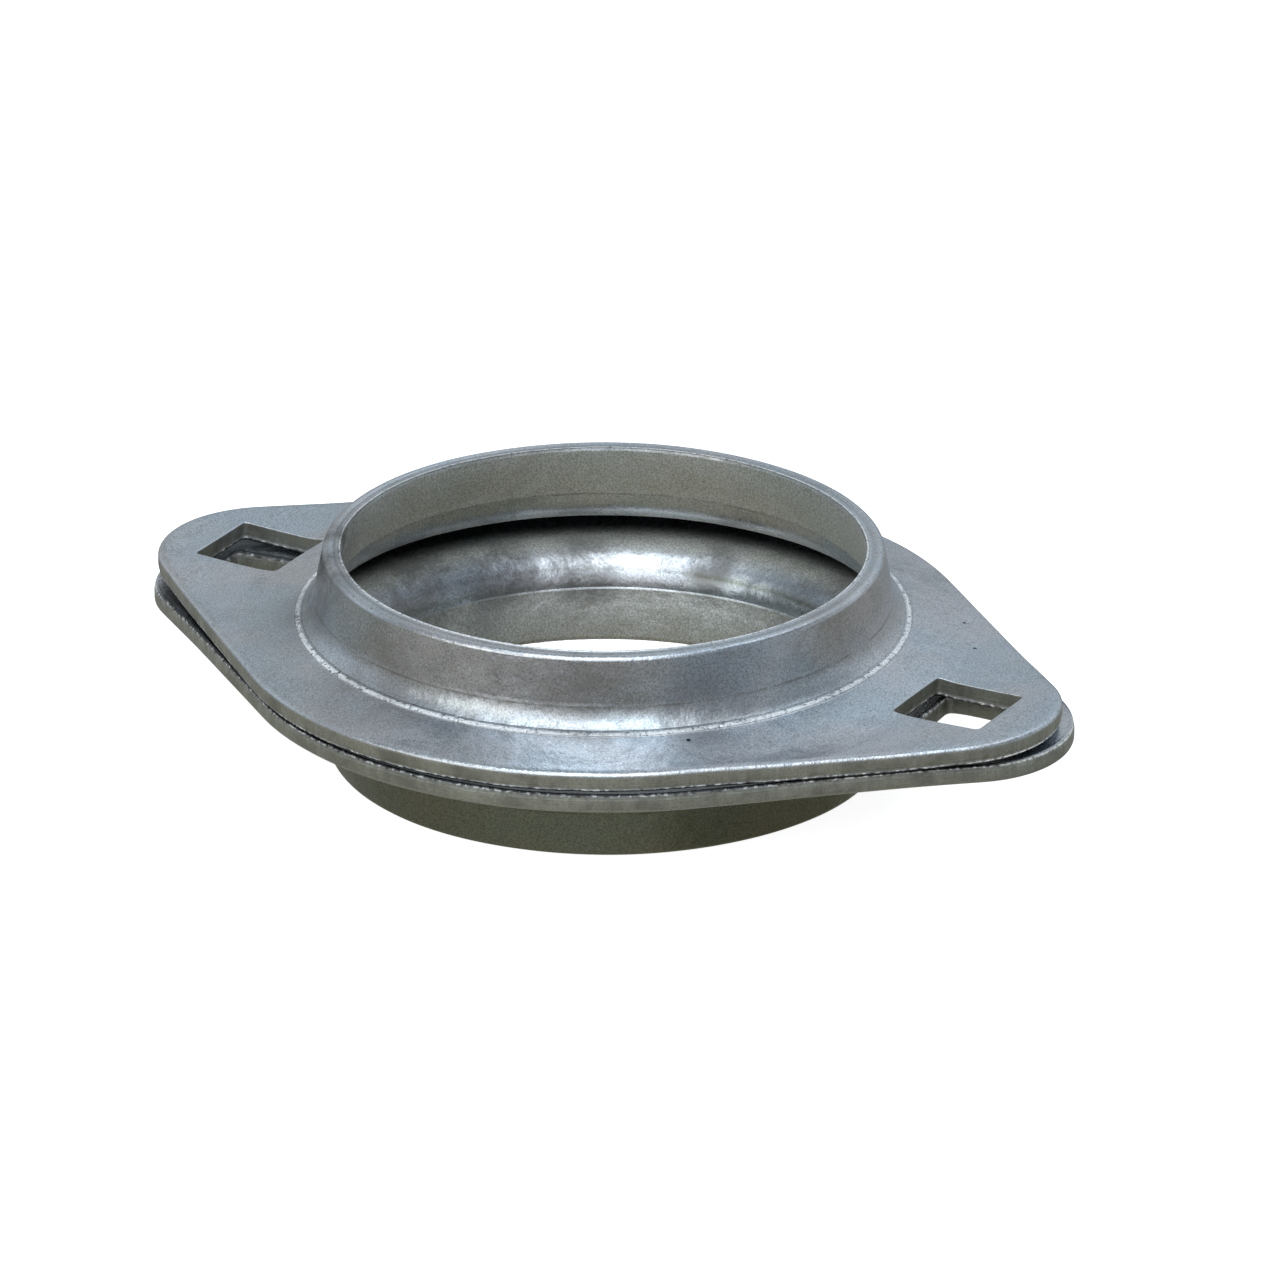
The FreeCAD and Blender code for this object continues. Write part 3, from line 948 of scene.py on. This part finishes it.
# %% [markdown]
# ## Floor
#
# The housing stands on a pale, plain floor. It glows a little, so that it stays even and pale, and it
# is left out of reflections, because the satin metal would show it as a white band.

# %% Floor
FLOOR_GAP = 0.01 * MM               # keeps the collar's face clear of the floor


def make_floor(height, half_size=3.0):
    """A square of floor at a height in metres."""
    corners = [(-half_size, -half_size, height), (half_size, -half_size, height),
               (half_size, half_size, height), (-half_size, half_size, height)]
    mesh = bpy.data.meshes.new("floor")
    mesh.from_pydata(corners, [], [(0, 1, 2, 3)])
    floor = bpy.data.objects.new("floor", mesh)
    bpy.context.collection.objects.link(floor)
    material = bpy.data.materials.new("pale_floor")
    tree = Tree(material)
    shader = tree.add("BsdfPrincipled", {}, {
        "Base Color": rgb(0.9, 0.9, 0.9), "Roughness": 0.9, "Specular IOR Level": 0.1,
        "Emission Color": rgb(1.0, 1.0, 1.0), "Emission Strength": 0.85})
    tree.add("OutputMaterial", {}, {"Surface": shader})
    mesh.materials.append(material)
    floor.visible_glossy = False
    return floor


floor = make_floor(cad_box[0].z - FLOOR_GAP)
print("floor at %.3f mm" % (floor.data.vertices[0].co.z / MM))

# %% [markdown]
# ## Camera
#
# The camera is placed by angles about the housing and a distance, as a tripod is: swing round it, tilt
# down on it, then level the head. A long lens from about a metre keeps the ellipses of the collar from
# looking forced. The three axes of its turn are worked out as vectors, which avoids Euler angles.

# %% Camera
CAMERA_AZIMUTH = math.radians(28.25)
CAMERA_ELEVATION = math.radians(23.11)
CAMERA_ROLL = math.radians(0.17)
CAMERA_DISTANCE = 1.0938
CAMERA_LENS_TO_SENSOR = 9.0336
CAMERA_SIDESTEP = (-0.003233, -0.000433)     # how far the aim lies from the origin, across and up


def toward(azimuth, elevation):
    """Unit vector from the object towards an azimuth off the camera's own, and an elevation."""
    a = CAMERA_AZIMUTH + math.radians(azimuth)
    e = math.radians(elevation)
    return Vector((math.sin(a) * math.cos(e), -math.cos(a) * math.cos(e), math.sin(e)))


def make_camera():
    """Camera with its three axes worked out: back from the aim, right and up, rolled a little."""
    back = toward(0, math.degrees(CAMERA_ELEVATION))
    level_right = Vector((math.cos(CAMERA_AZIMUTH), math.sin(CAMERA_AZIMUTH), 0))
    level_up = back.cross(level_right)
    right = math.cos(CAMERA_ROLL) * level_right + math.sin(CAMERA_ROLL) * level_up
    up = math.cos(CAMERA_ROLL) * level_up - math.sin(CAMERA_ROLL) * level_right
    data = bpy.data.cameras.new("camera")
    data.sensor_width = 36.0
    data.lens = data.sensor_width * CAMERA_LENS_TO_SENSOR
    data.clip_start, data.clip_end = 0.05, 20.0
    camera = bpy.data.objects.new("camera", data)
    turn = Matrix((right, up, back)).transposed().to_4x4()
    place = CAMERA_DISTANCE * back - CAMERA_SIDESTEP[0] * right - CAMERA_SIDESTEP[1] * up
    camera.matrix_world = Matrix.Translation(place) @ turn
    bpy.context.collection.objects.link(camera)
    bpy.context.scene.camera = camera
    return camera


camera = make_camera()
print("camera at", [round(v, 3) for v in camera.location], "lens %.0f mm" % camera.data.lens)

# %% [markdown]
# ## Light
#
# A satin metal shows what is round it, so it is lit by its surroundings rather than by lamps. The room
# is dim, with a pale wall behind. Soft panels hang in it: a wide one above the front with a bright
# middle, a faint one below that, a tall narrow one at the left and a small one overhead at the right.
# Both sides and the ground stay darker, which gives the upright faces their dark side. Area lights
# would do too, but here each panel is one line, and none can get between the camera and the housing.

# %% The room, as two angles
# The plain room, as the angle over and the colour there.
WALLS = ((-180, (0.29, 0.31, 0.33)), (-140, (0.24, 0.24, 0.21)), (-90, (0.20, 0.20, 0.16)),
         (-50, (0.26, 0.26, 0.215)), (-8, (0.26, 0.26, 0.24)), (-1, (0.22, 0.22, 0.22)),
         (4, (0.11, 0.11, 0.10)), (10, (0.30, 0.31, 0.31)), (90, (0.28, 0.31, 0.35)),
         (106, (0.20, 0.23, 0.26)), (128, (0.52, 0.59, 0.65)), (146, (0.55, 0.625, 0.69)),
         (156, (0.43, 0.485, 0.535)), (170, (0.36, 0.395, 0.425)), (180, (0.29, 0.315, 0.335)))
# Panels and dark screens: over from and to, side from and to, soft border, colour.
PANELS = ((120, 180, -40, -2, 2.5, (0.39, 0.42, 0.44)),
          (-20, 112, 26, 95, 10, (0.22, 0.24, 0.27)),
          (-130, -28, 18, 60, 10, (0.13, 0.13, 0.10)),
          (-90, 110, 66, 95, 6, (0.34, 0.38, 0.41)),
          (-90, 70, -95, -66, 6, (0.33, 0.34, 0.325)),
          (12, 46, -50, 18, 5, (0.80, 0.84, 0.88)),
          (22, 70, -53, -35, 7, (1.70, 1.80, 1.76)),
          (90, 120, 17, 34, 6, (1.20, 1.35, 1.50)),
          (35, 86, -23, 15, 12, (1.75, 2.0, 2.2)),
          (57, 67, -10, 2, 9, (7.0, 7.7, 8.2)))


def make_room():
    """Plain studio room, by the direction of a ray.

    over = atan2(height, front) runs from the front horizon at 0 over the top to the back one at 180.
    side = asin(right) runs from -90 at the left to 90 at the right. Each soft panel is a smooth box
    in these two angles, added to a plain ramp from the ground to the back wall."""
    world = bpy.data.worlds.new("studio_room")
    bpy.context.scene.world = world
    tree = Tree(world)
    ray = tree.add("TexCoord", output="Generated")

    directions = toward(0, 0), toward(90, 0), (0, 0, 1)
    front, right, height = (tree.vector("DOT_PRODUCT", ray, direction) for direction in directions)
    over = tree.add("Math", {"operation": "ARCTAN2"}, {0: height, 1: front}) * math.degrees(1)
    side = tree.add("Math", {"operation": "ARCSINE"}, {0: right}) * math.degrees(1)

    def inside(angle, low, high, soft):
        """1 between two angles, falling to 0 over a soft border."""
        return tree.smooth(angle, low - soft, low + soft) * tree.smooth(angle, high + soft, high - soft)

    stops = [((angle + 180) / 360, rgb(*colour)) for angle, colour in WALLS]
    room = tree.add("ValToRGB", {"stops": stops}, {0: over * (1 / 360) + 0.5})
    for over_from, over_to, side_from, side_to, soft, colour in PANELS:
        panel = inside(over, over_from, over_to, soft) * inside(side, side_from, side_to, soft)
        room = tree.blend(panel, room, rgb(*colour))
    light = tree.add("Background", {}, {"Color": room, "Strength": 1.0})
    tree.add("OutputWorld", {}, {"Surface": light})
    return world


room = make_room()
bpy.context.scene.view_settings.view_transform = "Standard"
print("%s has %d panels" % (room.name, len(PANELS)))
